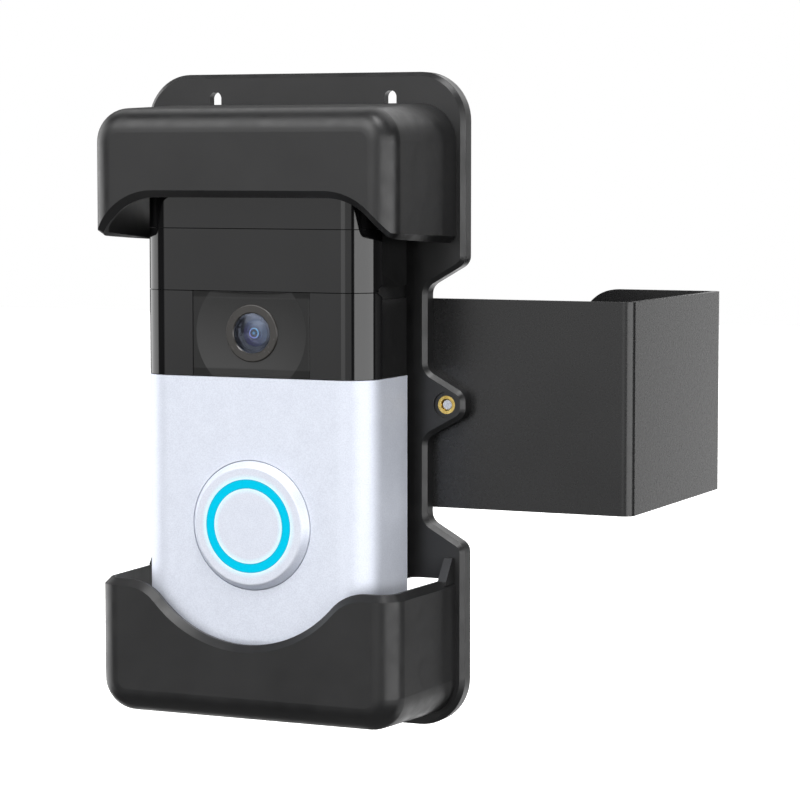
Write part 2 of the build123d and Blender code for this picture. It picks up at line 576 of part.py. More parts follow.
def bell_bracket():
    outer = bell_sketch(3.0)
    plate = slab(outer, PLATE_FRONT_Y, PLATE_FRONT_Y - BRACKET_FLOOR_T)
    wall = slab(outer - bell_sketch(4.6), PLATE_FRONT_Y, BELL_REAR_Y)
    opening = slab(panel_sketch(14, 12, 52, 5.0), PLATE_FRONT_Y, BELL_REAR_Y)
    bracket = plate + wall - opening
    for x, z in BRACKET_SCREWS:
        head_y = PLATE_FRONT_Y - BRACKET_BOSS_T
        bracket += rod(x, z, BRACKET_HEAD_R + 1.4, PLATE_FRONT_Y, head_y)
        bracket -= rod(x, z, BRACKET_SCREW_R + CLEAR, PLATE_FRONT_Y, head_y)
        sink = slab_cone(BRACKET_SCREW_R + CLEAR, BRACKET_HEAD_R + CLEAR, PLATE_FRONT_Y - 1.2, head_y)
        bracket -= Pos(x, 0, z) * sink
    return bracket


def bracket_screws():
    def screw(x, z):
        head_y = PLATE_FRONT_Y - BRACKET_BOSS_T
        head = slab_cone(BRACKET_SCREW_R, BRACKET_HEAD_R, PLATE_FRONT_Y - 1.2, head_y)
        shank = rod(0, 0, BRACKET_SCREW_R, CLAMP_FRONT_Y - 0.6, PLATE_FRONT_Y - 1.2)
        slots = block(2.0, -0.45, 0.45, head_y + 1.2, head_y) + block(0.45, -2.0, 2.0, head_y + 1.2, head_y)
        return Pos(x, 0, z) * (head + shank - slots)
    return group(screw(x, z) for x, z in BRACKET_SCREWS)


def housing_gasket():
    ring = bell_sketch(FRAME_INSET + 0.2) - bell_sketch(CAVITY_INSET - 0.2)
    gasket = slab(ring, COVER_REAR_Y + 0.2, FRAME_REAR_Y)
    for x, z in HOUSING_SCREWS:
        gasket -= rod(x, z, 1.5, 0, -50)
    return gasket


def front_frame():
    plate = slab(bell_sketch(FRAME_INSET), FRAME_REAR_Y, FRAME_FRONT_Y)
    plate -= rod(0, CAMERA_Z, BARREL_R + 0.2, FRAME_REAR_Y, FRAME_FRONT_Y)
    guide = rod(0, BUTTON_Z, 4.5, FRAME_REAR_Y + 1.2, FRAME_REAR_Y)
    plate = plate + guide - rod(0, BUTTON_Z, STEM_R + RUN, 0, -50)
    for x, z in HOUSING_SCREWS:
        plate -= rod(x, z, BOSS_SCREW_R, FRAME_REAR_Y, FRAME_FRONT_Y)
    return plate


def housing_screws():
    def screw(x, z):
        head_y, neck_y = BELL_REAR_Y - 0.3, BELL_REAR_Y - BOSS_HEAD_SINK
        head = rod(x, z, BOSS_HEAD_R, head_y, neck_y)
        shank = rod(x, z, BOSS_SCREW_R, neck_y, FRAME_FRONT_Y + 0.3)
        slots = block(1.2, z - 0.25, z + 0.25, head_y, head_y - 0.6, x)
        slots += block(0.25, z - 1.2, z + 1.2, head_y, head_y - 0.6, x)
        return head + shank - slots
    return group(screw(x, z) for x, z in HOUSING_SCREWS)


# ---- Doorbell inside ----
def sensor_board():
    board = block(9, CAMERA_Z - 9, CAMERA_Z + 9, SENSOR_FRONT_Y + 0.9, SENSOR_FRONT_Y)
    return board + block(4, CAMERA_Z - 5, CAMERA_Z + 5, SENSOR_FRONT_Y + 1.9, SENSOR_FRONT_Y + 0.9)


def infrared_leds():
    spots = [(x, CAMERA_Z + dz) for x in (-11.5, 11.5) for dz in (-6, 6)]
    return group(rod(x, z, 1.5, FRAME_FRONT_Y, FRAME_FRONT_Y - 2.2) for x, z in spots)


def motion_sensors():
    def can(x):
        body = rod(x, MOTION_Z, MOTION_R, FRAME_FRONT_Y, FRAME_FRONT_Y - 3.2)
        return body - block(1.6, MOTION_Z - 1.5, MOTION_Z + 1.5, FRAME_FRONT_Y - 2.6, FRAME_FRONT_Y - 3.2, x)
    return group(can(x) for x in (-MOTION_X, MOTION_X))


def main_board():
    board = slab(panel_sketch(25, -53, 50, 2.0), BOARD_REAR_Y, BOARD_FRONT_Y)
    return board + block(7, -2, 4, BOARD_FRONT_Y, BOARD_FRONT_Y - 1.2)


def radio_shield():
    can = block(11, -18, -4, BOARD_FRONT_Y, BOARD_FRONT_Y - 1.8, -12)
    return can - block(10.7, -17.7, -4.3, BOARD_FRONT_Y, BOARD_FRONT_Y - 1.5, -12)


def microphones():
    return group(rod(x, MIC_Z, 2.0, BOARD_FRONT_Y, BOARD_FRONT_Y - 1.5) for x in (-MIC_X, MIC_X))


def tact_switch():
    body = block(3, BUTTON_Z - 3, BUTTON_Z + 3, BOARD_FRONT_Y, BOARD_FRONT_Y - 2.6)
    return body - rod(0, BUTTON_Z, PLUNGER_R + RUN, BOARD_FRONT_Y - 0.3, BOARD_FRONT_Y - 2.6)


def wifi_antenna():
    return block(12, 50, 57, FRAME_FRONT_Y, FRAME_FRONT_Y - 0.4)


def battery():
    cell = slab(panel_sketch(21, -50, 14, 3.0), -14.6, -21.6)
    return fillet(cell.faces().sort_by(Axis.Y)[-1].edges(), 1.0)


def speaker():
    front_y, wall = FRAME_FRONT_Y - 3.4, 2.0
    box = slab(Pos(0, SPEAKER_Z) * RectangleRounded(26, 11, 3.0), FRAME_FRONT_Y, front_y)
    opening = Pos(0, SPEAKER_Z) * RectangleRounded(26 - 2 * wall, 11 - 2 * wall, 2.0)
    return box - slab(opening, front_y + 0.4, front_y)


def usb_socket():
    mouth_y, wall = BELL_REAR_Y - 0.1, 0.4
    shell = block(USB_HALF_W, USB_LOW_Z, USB_HIGH_Z, mouth_y, -19)
    return shell - block(USB_HALF_W - wall, USB_LOW_Z + wall, USB_HIGH_Z - wall, mouth_y, -17)


def terminal_screws():
    def screw(x, z):
        head_y = BELL_REAR_Y + 1.8
        head = rod(x, z, TERMINAL_HEAD_R, head_y, BELL_REAR_Y)
        slot = block(TERMINAL_HEAD_R, z - 0.4, z + 0.4, head_y, head_y - 0.9, x)
        return head - slot + rod(x, z, TERMINAL_R, BELL_REAR_Y, -15.5)
    return group(screw(x, z) for x, z in TERMINALS)


def security_screws():
    def screw(x):
        shank = Pos(x, SECURITY_Y, BELL_BOTTOM_Z + 2.3) * Cylinder(SECURITY_R, 3.0)
        head = Pos(x, SECURITY_Y, BELL_BOTTOM_Z + 0.4) * Cylinder(SECURITY_R + 0.9, 0.8)
        socket = Pos(x, SECURITY_Y, BELL_BOTTOM_Z) * extrude(RegularPolygon(0.9, 6), amount=0.6)
        return shank + head - socket
    return group(screw(x) for x in (-SECURITY_X, SECURITY_X))


# ---- Button ----
def button_cap():
    """Raised disc with a conical edge; a flange behind the faceplate holds it in."""
    top = slab_cone(BUTTON_BASE_R, BUTTON_TOP_R, BELL_FRONT_Y, BUTTON_FRONT_Y)
    top = fillet(front_face(top).edges(), 0.6)
    cap = Pos(0, 0, BUTTON_Z) * top
    cap += rod(0, BUTTON_Z, BUTTON_BASE_R, CAP_REAR_Y, BELL_FRONT_Y)
    cap += rod(0, BUTTON_Z, BUTTON_FLANGE_R, CAP_REAR_Y, CAP_REAR_Y - FLANGE_T)
    cap -= tube(0, BUTTON_Z, GLOW_OUTER_R, GLOW_INNER_R, BUTTON_FRONT_Y + 1.4, BUTTON_FRONT_Y)
    return cap + rod(0, BUTTON_Z, STEM_R, STEM_END_Y, CAP_REAR_Y)


def button_light_ring():
    return tube(0, BUTTON_Z, GLOW_OUTER_R, GLOW_INNER_R, BUTTON_FRONT_Y + 1.4, BUTTON_FRONT_Y + 0.05)


def button_spring():
    """Coil round the stem, between the frame and the cap."""
    wire_r, turns, mean_r = 0.2, 3.0, 3.4
    height = FRAME_FRONT_Y - CAP_REAR_Y - 2 * wire_r - 0.1
    path = Helix(pitch=height / turns, height=height, radius=mean_r)
    start = path @ 0
    section = Plane(origin=start, z_dir=path % 0) * Circle(wire_r)
    coil = sweep(section, path=path, is_frenet=True)
    return Pos(0, FRAME_FRONT_Y - wire_r - 0.05, BUTTON_Z) * Rot(90, 0, 0) * coil


def switch_plunger():
    return rod(0, BUTTON_Z, PLUNGER_R, BOARD_FRONT_Y - 1.4, STEM_END_Y)


def ring_light_board():
    return tube(0, BUTTON_Z, 13.0, 7.0, FRAME_FRONT_Y, FRAME_FRONT_Y - 0.8)


def ring_leds():
    middle_r = (GLOW_OUTER_R + GLOW_INNER_R) / 2

    def led(i):
        angle = 2 * pi * i / 8
        x, z = middle_r * cos(angle), BUTTON_Z + middle_r * sin(angle)
        return block(0.9, z - 0.9, z + 0.9, FRAME_FRONT_Y - 0.8, FRAME_FRONT_Y - 1.6, x)
    return group(led(i) for i in range(8))


# ---- Write every sub-part ----
PIECES = {
    "holder_shell": holder_shell,
    "tab_inserts": tab_inserts,
    "clamp_fixing_screws": clamp_fixing_screws,
    "door_clamp": door_clamp,
    "front_pad": front_pad,
    "rivet_nuts": rivet_nuts,
    "pressure_plate": pressure_plate,
    "pressure_pad": pressure_pad,
    "upper_clamp_screw": lambda: clamp_screw(1),
    "lower_clamp_screw": lambda: clamp_screw(-1),
    "upper_retaining_ring": lambda: retaining_ring(1),
    "lower_retaining_ring": lambda: retaining_ring(-1),
    "bell_bracket": bell_bracket,
    "bracket_screws": bracket_screws,
    "rear_housing": rear_housing,
    "housing_gasket": housing_gasket,
    "front_frame": front_frame,
    "housing_screws": housing_screws,
    "top_cap": top_cap,
    "motion_lens": motion_lens,
    "camera_cover": camera_cover,
    "camera_panel": camera_panel,
    "lens_bezel": lens_bezel,
    "lens_glass": lens_glass,
    "lens_barrel": lens_barrel,
    "sensor_board": sensor_board,
    "infrared_leds": infrared_leds,
    "motion_sensors": motion_sensors,
    "main_board": main_board,
    "radio_shield": radio_shield,
    "microphones": microphones,
    "tact_switch": tact_switch,
    "wifi_antenna": wifi_antenna,
    "battery": battery,
    "speaker": speaker,
    "usb_socket": usb_socket,
    "terminal_screws": terminal_screws,
    "faceplate": faceplate,
    "security_screws": security_screws,
    "ring_light_board": ring_light_board,
    "ring_leds": ring_leds,
    "button_cap": button_cap,
    "button_light_ring": button_light_ring,
    "button_spring": button_spring,
    "switch_plunger": switch_plunger,
}

for name, make in PIECES.items():
    export_step(make(), os.path.join("parts", name + ".step"))
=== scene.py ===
import math

import bmesh
import bpy
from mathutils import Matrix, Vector

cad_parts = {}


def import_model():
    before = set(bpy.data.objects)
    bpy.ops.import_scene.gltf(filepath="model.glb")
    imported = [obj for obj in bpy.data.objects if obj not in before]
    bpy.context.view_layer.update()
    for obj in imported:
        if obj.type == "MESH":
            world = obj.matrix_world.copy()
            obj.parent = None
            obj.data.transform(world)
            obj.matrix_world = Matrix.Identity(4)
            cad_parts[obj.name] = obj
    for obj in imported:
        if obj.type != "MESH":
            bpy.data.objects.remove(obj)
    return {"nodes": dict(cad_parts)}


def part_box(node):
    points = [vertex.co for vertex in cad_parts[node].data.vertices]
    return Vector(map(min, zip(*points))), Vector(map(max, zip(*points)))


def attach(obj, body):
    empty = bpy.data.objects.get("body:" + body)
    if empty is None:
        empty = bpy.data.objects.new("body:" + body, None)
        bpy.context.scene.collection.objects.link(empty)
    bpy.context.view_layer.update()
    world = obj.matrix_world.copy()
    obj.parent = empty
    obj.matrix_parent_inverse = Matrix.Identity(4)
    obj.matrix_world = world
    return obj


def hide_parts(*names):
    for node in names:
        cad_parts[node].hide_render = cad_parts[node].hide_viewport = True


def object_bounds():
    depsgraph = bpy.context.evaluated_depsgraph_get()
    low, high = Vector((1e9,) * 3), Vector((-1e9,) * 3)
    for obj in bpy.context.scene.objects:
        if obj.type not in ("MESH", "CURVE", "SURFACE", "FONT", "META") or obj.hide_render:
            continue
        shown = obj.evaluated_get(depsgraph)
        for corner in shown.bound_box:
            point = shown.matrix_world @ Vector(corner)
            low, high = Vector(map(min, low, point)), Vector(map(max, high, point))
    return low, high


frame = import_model()
cad_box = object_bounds()
nodes = frame["nodes"]

# Sizes, in metres
GLOW_WIDTH = 0.00223          # the button's light ring, from its inner edge to its outer edge
GLOW_REACH = 0.0013           # how far the painted glow of its light reaches onto the paint beside it
DISH_RADIUS = 0.0148          # the camera panel's dish, seen from the front
DISH_FLAT_HALF = 0.0080       # the dish's ends start this far above and below the lens
DISH_END = 0.0008             # and reach their full dullness within this
DOME_EDGE = 0.00002           # gap between the inner lens and its baffle
SCREW_SHANK, SCREW_PITCH, THREAD_DEPTH = 0.0025, 0.0008, 0.00045
SCREW_HEAD, SCREW_TIP, SCREW_TIP_RADIUS = 0.005, 0.0028, 0.0016
SOCKET_HALF, SOCKET_DEPTH = 0.0020, 0.0028
PAD_ROUNDING, PAD_CORNER, PAD_HOLE = 0.0003, 0.004, 0.0035
FLOOR_DROP = 0.60             # the floor lies this far below the object, which hangs on a door


# ---- Shader helpers ----
class Shader:
    """One procedural material, with its pattern fixed to the piece's own coordinates."""

    def __init__(self, name, colour=(0.8, 0.8, 0.8), roughness=0.5, metallic=0.0):
        self.material = bpy.data.materials.new(name)
        self.material.use_nodes = True
        self.tree = self.material.node_tree
        self.bsdf = self.tree.nodes["Principled BSDF"]
        self.set("Base Color", (*colour, 1.0))
        self.set("Roughness", roughness)
        self.set("Metallic", metallic)
        self.place = self.node("ShaderNodeTexCoord").outputs["Object"]

    def set(self, socket, value):
        self.bsdf.inputs[socket].default_value = value

    def node(self, kind, **settings):
        made = self.tree.nodes.new(kind)
        for key, value in settings.items():
            setattr(made, key, value)
        return made

    def link(self, output, target):
        self.tree.links.new(output, target)

    def join(self, output, socket):
        self.link(output, self.bsdf.inputs[socket])

    def maths(self, operation, first, second=0.0):
        made = self.node("ShaderNodeMath", operation=operation)
        for slot, value in zip(made.inputs, (first, second)):
            if isinstance(value, (int, float)):
                slot.default_value = value
            else:
                self.link(value, slot)
        return made.outputs[0]

    def stretched(self, scale):
        """The piece's coordinates, drawn out along some axes."""
        mapping = self.node("ShaderNodeMapping")
        mapping.inputs["Scale"].default_value = scale
        self.link(self.place, mapping.inputs["Vector"])
        return mapping.outputs["Vector"]

    def noise(self, size, detail=2.0, place=None):
        """Noise whose blobs are about size metres across, from 0 to 1."""
        made = self.node("ShaderNodeTexNoise")
        made.inputs["Scale"].default_value = 1.0 / size
        made.inputs["Detail"].default_value = detail
        self.link(place or self.place, made.inputs["Vector"])
        return made.outputs["Fac"]

    def cells(self, size, feature="F1"):
        made = self.node("ShaderNodeTexVoronoi", feature=feature)
        made.inputs["Scale"].default_value = 1.0 / size
        self.link(self.place, made.inputs["Vector"])
        return made.outputs["Distance"]

    def spread(self, value, low, high, start=0.3, stop=0.7):
        """Map value from start..stop to low..high."""
        made = self.node("ShaderNodeMapRange")
        for socket, number in (("From Min", start), ("From Max", stop), ("To Min", low), ("To Max", high)):
            made.inputs[socket].default_value = number
        self.link(value, made.inputs["Value"])
        return made.outputs["Result"]

    def ramp(self, value, stops, interpolation="LINEAR"):
        made = self.node("ShaderNodeValToRGB")
        made.color_ramp.interpolation = interpolation
        points = made.color_ramp.elements
        while len(points) < len(stops):
            points.new(0.5)
        for point, (position, colour) in zip(points, stops):
            point.position = position
            point.color = (*colour, 1.0)
        self.link(value, made.inputs["Fac"])
        return made.outputs["Color"]

    def bump(self, height, distance, strength=1.0, below=None):
        made = self.node("ShaderNodeBump")
        made.inputs["Distance"].default_value = distance
        made.inputs["Strength"].default_value = strength
        self.link(height, made.inputs["Height"])
        if below is not None:
            self.link(below, made.inputs["Normal"])
        return made.outputs["Normal"]

    def radius_from(self, x, z):
        """Distance from the line through x, z along Y."""
        parts = self.node("ShaderNodeSeparateXYZ")
        self.link(self.place, parts.inputs["Vector"])
        across = self.maths("SUBTRACT", parts.outputs["X"], x)
        up = self.maths("SUBTRACT", parts.outputs["Z"], z)
        total = self.maths("ADD", self.maths("MULTIPLY", across, across), self.maths("MULTIPLY", up, up))
        return self.maths("SQRT", total)


def between(dark, light):
    return [(0.3, dark), (0.7, light)]


# ---- Materials ----
def moulded(name, dark, light, roughness, grain=0.00035, depth=0.00002, low=0.06):
    """Moulded plastic: a fine eroded texture, with faint clouds in colour and gloss."""
    s = Shader(name)
    s.join(s.ramp(s.noise(0.018, 3.0), between(dark, light)), "Base Color")
    s.join(s.spread(s.noise(0.004, 3.0), roughness - low, roughness + low), "Roughness")
    s.join(s.bump(s.noise(grain, 2.0), depth, 0.5), "Normal")
    return s.material


def holder_plastic():
    return moulded("holder_plastic", (0.010, 0.010, 0.0105), (0.015, 0.015, 0.0155), 0.37)


def housing_plastic():
    return moulded("housing_plastic", (0.004, 0.004, 0.0042), (0.007, 0.007, 0.0074), 0.36, 0.0003)


def gloss_plastic(name, dark, light, roughness):
    """Polished plastic: a long faint ripple and fine dust marks in the gloss."""
    s = Shader(name)
    s.join(s.ramp(s.noise(0.02, 2.0), between(dark, light)), "Base Color")
    marks = s.spread(s.noise(0.0011, 6.0), roughness, roughness + 0.05, 0.45, 0.75)
    s.join(marks, "Roughness")
    s.join(s.bump(s.noise(0.006, 1.0), 0.00001, 0.3), "Normal")
    return s.material


def powder_coat():
    """Satin powder coat with its slight orange peel."""
    s = Shader("powder_coat")
    s.join(s.ramp(s.noise(0.03, 3.0), between((0.010, 0.010, 0.0104), (0.014, 0.014, 0.0145))), "Base Color")
    s.join(s.spread(s.noise(0.0015, 4.0), 0.25, 0.29), "Roughness")
    fine = s.bump(s.noise(0.0003, 2.0), 0.00001, 0.4)
    s.join(s.bump(s.noise(0.0012, 2.0), 0.000008, 0.4, fine), "Normal")
    return s.material


def silver_paint(name, ring=None):
    """Fine metallic paint; next to a light ring it gets a painted glow in the ring's colour, standing for
    the ring's light falling on it.
    """
    s = Shader(name, metallic=0.36)
    flakes = s.noise(0.00028, 2.0)
    clouds = s.noise(0.004, 2.0)
    mixed = s.maths("ADD", s.maths("MULTIPLY", flakes, 0.8), s.maths("MULTIPLY", clouds, 0.2))
    s.join(s.ramp(mixed, between((0.67, 0.705, 0.80), (0.80, 0.84, 0.935))), "Base Color")
    s.join(s.spread(flakes, 0.44, 0.54), "Roughness")
    s.join(s.bump(flakes, 0.00001, 0.35), "Normal")
    if ring:
        x, z, inner, outer, reach = ring
        distance = s.radius_from(x, z)
        from_inner = s.maths("ABSOLUTE", s.maths("SUBTRACT", distance, inner))
        from_outer = s.maths("ABSOLUTE", s.maths("SUBTRACT", distance, outer))
        near = s.maths("MINIMUM", from_inner, from_outer)
        # painted glow: emission on the paint, strongest at the ring's edges, stands for the ring's light
        # spilling onto it
        s.join(s.spread(near, 0.24, 0.0, 0.0, reach), "Emission Strength")
        s.set("Emission Color", (0.10, 1.0, 0.90, 1.0))
    return s.material


def lit_ring(x, z, inner, outer):
    """Light guide, brightest along its middle and a little mottled by the plastic's grain."""
    s = Shader("lit_ring", (0.0, 0.05, 0.07), 0.5)
    s.set("Specular IOR Level", 0.0)
    distance = s.radius_from(x, z)
    middle, half = (inner + outer) / 2, (outer - inner) / 2
    away = s.maths("ABSOLUTE", s.maths("SUBTRACT", distance, middle))
    share = s.maths("DIVIDE", away, half)
    middle_blue, side_blue, edge_blue = (0.003, 0.66, 0.95), (0.003, 0.64, 0.92), (0.02, 0.44, 0.66)
    s.join(s.ramp(share, [(0.0, middle_blue), (0.7, side_blue), (1.0, edge_blue)]), "Emission Color")
    s.join(s.spread(s.noise(0.0006, 2.0), 0.82, 0.89), "Emission Strength")
    return s.material


def turned_metal(name, dark, light, roughness, along=(1, 1, 1)):
    """Machined or plated metal with fine tool marks drawn out along the surface."""
    s = Shader(name, metallic=1.0)
    marks = s.noise(0.0006, 3.0, s.stretched(along))
    s.join(s.ramp(s.noise(0.002, 4.0), between(dark, light)), "Base Color")
    s.join(s.spread(marks, roughness - 0.08, roughness + 0.1), "Roughness")
    s.join(s.bump(marks, 0.000015, 0.4), "Normal")
    return s.material


def brass():
    return turned_metal("brass", (0.62, 0.42, 0.10), (0.86, 0.66, 0.24), 0.24)


def zinc_plate():
    return turned_metal("zinc_plate", (0.56, 0.57, 0.60), (0.74, 0.75, 0.76), 0.28)


def tin_plate():
    return turned_metal("tin_plate", (0.52, 0.51, 0.49), (0.64, 0.63, 0.60), 0.32, (1, 6, 1))


def black_oxide():
    return turned_metal("black_oxide", (0.035, 0.036, 0.04), (0.07, 0.07, 0.075), 0.36, (1, 8, 1))


def foam():
    """Closed-cell foam: small pits of different sizes, painted darker towards their middles as painted
    shade, and a dull skin.
    """
    s = Shader("foam", roughness=0.9)
    cells = s.cells(0.0007)
    # painted shade: the pits are coloured darker towards their middles
    s.join(s.ramp(cells, [(0.0, (0.012, 0.012, 0.012)), (0.6, (0.028, 0.028, 0.029))]), "Base Color")
    s.join(s.spread(s.noise(0.003, 2.0), 0.82, 0.95), "Roughness")
    fine = s.bump(s.noise(0.0002, 3.0), 0.00004, 0.6)
    s.join(s.bump(cells, 0.0001, 0.7, fine), "Normal")
    return s.material


def moulded_rubber(name):
    s = Shader(name)
    s.join(s.ramp(s.noise(0.005, 4.0), between((0.014, 0.014, 0.014), (0.026, 0.026, 0.026))), "Base Color")
    s.join(s.spread(s.noise(0.001, 3.0), 0.6, 0.8), "Roughness")
    s.join(s.bump(s.noise(0.0004, 3.0), 0.00003, 0.6), "Normal")
    return s.material


def circuit_board():
    """Green solder mask over copper tracks."""
    s = Shader("circuit_board", roughness=0.35)
    tracks = s.node("ShaderNodeTexBrick", offset=0.37, squash=1.6)
    tracks.inputs["Scale"].default_value = 190.0
    tracks.inputs["Mortar Size"].default_value = 0.035
    tracks.inputs["Color1"].default_value = (0.010, 0.10, 0.035, 1)
    tracks.inputs["Color2"].default_value = (0.012, 0.12, 0.045, 1)
    tracks.inputs["Mortar"].default_value = (0.03, 0.22, 0.08, 1)
    turned = s.node("ShaderNodeMapping")
    turned.inputs["Rotation"].default_value = (math.pi / 2, 0, 0)
    s.link(s.place, turned.inputs["Vector"])
    s.link(turned.outputs["Vector"], tracks.inputs["Vector"])
    s.join(tracks.outputs["Color"], "Base Color")
    s.join(s.spread(s.noise(0.002, 2.0), 0.28, 0.42), "Roughness")
    s.join(s.bump(tracks.outputs["Fac"], 0.00003, 0.6), "Normal")
    return s.material


def battery_wrap():
    """Shrink film with faint wrinkles."""
    s = Shader("battery_wrap", roughness=0.3)
    s.join(s.ramp(s.noise(0.01, 2.0), between((0.02, 0.04, 0.16), (0.03, 0.06, 0.22))), "Base Color")
    s.join(s.spread(s.noise(0.004, 3.0), 0.22, 0.4), "Roughness")
    s.join(s.bump(s.noise(0.004, 2.0, s.stretched((1, 1, 5))), 0.0002, 0.4), "Normal")
    return s.material


def clear_epoxy():
    s = Shader("clear_epoxy", roughness=0.1)
    s.join(s.ramp(s.noise(0.001, 2.0), between((0.30, 0.26, 0.33), (0.42, 0.37, 0.45))), "Base Color")
    s.join(s.spread(s.noise(0.0005, 2.0), 0.06, 0.14), "Roughness")
    s.set("Transmission Weight", 0.4)
    return s.material


def white_plastic():
    return moulded("white_plastic", (0.66, 0.66, 0.64), (0.76, 0.76, 0.74), 0.35)


def panel_gloss(x, z, dish_radius):
    """Camera panel: painted shade makes the flat corners darker than the dish round the lens, and the dish
    is dull at its ends.
    """
    s = Shader("panel_gloss")
    distance = s.radius_from(x, z)
    edge = s.spread(distance, 1.0, 0.0, dish_radius - 0.0001, dish_radius + 0.0001)
    clouds = s.spread(s.noise(0.01, 2.0), -0.1, 0.1)
    # painted shade: the corners outside the dish get the darker colour, the dish the lighter one
    painted_corner_shade = [(0.1, (0.002, 0.002, 0.002)), (0.9, (0.020, 0.020, 0.020))]
    s.join(s.ramp(s.maths("ADD", edge, clouds), painted_corner_shade), "Base Color")
    parts = s.node("ShaderNodeSeparateXYZ")
    s.link(s.place, parts.inputs["Vector"])
    height = s.maths("ABSOLUTE", s.maths("SUBTRACT", parts.outputs["Z"], z))
    matt_ends = s.spread(height, 0.0, 0.85, DISH_FLAT_HALF, DISH_FLAT_HALF + DISH_END)
    s.join(s.maths("MAXIMUM", s.spread(edge, 0.40, 0.28, 0.0, 1.0), matt_ends), "Roughness")
    s.join(s.bump(s.noise(0.0004, 2.0), 0.00001, 0.3), "Normal")
    return s.material


def coated_glass():
    """Front lens: clear glass with a bluish coating, and the faintest smears."""
    s = Shader("coated_glass", (0.66, 0.70, 0.78))
    s.set("IOR", 1.65)
    s.set("Transmission Weight", 1.0)
    s.set("Specular Tint", (0.42, 0.47, 0.60, 1.0))
    s.join(s.spread(s.noise(0.0015, 4.0), 0.01, 0.05, 0.5, 0.8), "Roughness")
    return s.material


def painted_lens_reflections(x, z, radius):
    """Inner lens: reflections painted into its colour, as bright rings round a small bright pupil, violet
    low on one side and teal high on the other.
    """
    s = Shader("painted_lens_reflections", roughness=0.12)
    share = s.maths("DIVIDE", s.radius_from(x, z), radius)
    ripple = s.maths("ADD", share, s.spread(s.noise(0.0012, 2.0), -0.012, 0.012))
    # painted reflection: the bright stops (lit, pupil, second_ring) paint the lens's reflections as rings in
    # its colour
    lit, dark, deep = (0.30, 0.40, 0.56), (0.004, 0.006, 0.016), (0.012, 0.014, 0.036)
    pupil, pupil_edge = (0.16, 0.36, 0.42), (0.06, 0.16, 0.20)
    second_ring, rim = (0.05, 0.06, 0.13), (0.022, 0.028, 0.06)
    stops = [(0.0, pupil), (0.10, pupil_edge), (0.14, dark), (0.28, dark), (0.32, lit), (0.36, lit),
             (0.40, deep), (0.56, deep), (0.60, second_ring), (0.64, deep), (0.92, rim), (1.0, dark)]
    rings = s.ramp(ripple, stops)
    parts = s.node("ShaderNodeSeparateXYZ")
    s.link(s.place, parts.inputs["Vector"])
    across = s.maths("SUBTRACT", parts.outputs["X"], x)
    up = s.maths("SUBTRACT", parts.outputs["Z"], z)
    # painted reflection: teal towards the upper side and violet towards the lower side, standing for
    # coloured reflections of light
    rise = s.maths("ADD", across, up)
    violet, teal = (1.5, 0.8, 1.8), (0.7, 1.9, 1.9)
    painted_reflection_tint = s.ramp(s.spread(rise, 0.0, 1.0, -radius, radius), [(0.2, violet), (0.8, teal)])
    mix = s.node("ShaderNodeMix", data_type="RGBA", blend_type="MULTIPLY")
    mix.inputs["Factor"].default_value = 1.0
    s.link(rings, mix.inputs["A"])
    s.link(painted_reflection_tint, mix.inputs["B"])
    s.join(mix.outputs["Result"], "Base Color")
    s.set("Coat Weight", 0.5)
    return s.material


# ---- Mesh helpers ----
def add_mesh(name, bm, smooth_angle=35.0):
    mesh = bpy.data.meshes.new(name)
    bmesh.ops.recalc_face_normals(bm, faces=bm.faces)
    bm.to_mesh(mesh)
    bm.free()
    mesh.shade_smooth()
    mesh.set_sharp_from_angle(angle=math.radians(smooth_angle))
    piece = bpy.data.objects.new(name, mesh)
    bpy.context.scene.collection.objects.link(piece)
    return piece


def turns(count):
    """Angles of points evenly spaced round a circle."""
    return [2 * math.pi * i / count for i in range(count)]


def lathe(name, profile, x, z, steps=128):
    """Turn a closed outline of (radius, y) points round the line through x, z along Y."""
    bm = bmesh.new()
    rings = []
    for radius, y in profile:
        if radius < 1e-7:
            rings.append([bm.verts.new((x, y, z))])
            continue
        around = [(x + radius * math.cos(a), y, z + radius * math.sin(a)) for a in turns(steps)]
        rings.append([bm.verts.new(point) for point in around])
    for near, far in zip(rings, rings[1:] + rings[:1]):
        if len(near) == 1 and len(far) == 1:
            continue
        for i in range(steps):
            j = (i + 1) % steps
            corners = [near[i % len(near)], near[j % len(near)], far[j % len(far)], far[i % len(far)]]
            bm.faces.new(list(dict.fromkeys(corners)))
    return add_mesh(name, bm)


def centre_of(node):
    low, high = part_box(node)
    return (low + high) / 2


def paint(material, *names):
    for name in names:
        mesh = nodes[name].data
        mesh.materials.clear()
        mesh.materials.append(material)


def cap_points(radius, edge_y, sag, count=14):
    """Points along a shallow dome from its edge in to its middle; sag is measured towards -Y."""
    points = []
    for i in range(count + 1):
        share = 1 - i / count
        points.append((radius * share, edge_y - sag * (1 - share ** 2)))
    return points


# ---- Lens ----
def lens_front():
    """Meniscus front element, in place of the plain one."""
    low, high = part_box("lens_glass")
    centre = centre_of("lens_glass")
    radius = (high.x - low.x) / 2
    rim_y = low.y + 0.00075
    outside = cap_points(radius, rim_y, rim_y - low.y)
    inside = cap_points(radius * 0.9, high.y, 0.0009)[::-1]
    piece = lathe("lens_front", outside + inside + [(radius, high.y)], centre.x, centre.z)
    piece.data.materials.append(coated_glass())
    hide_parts("lens_glass")
    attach(piece, "root")


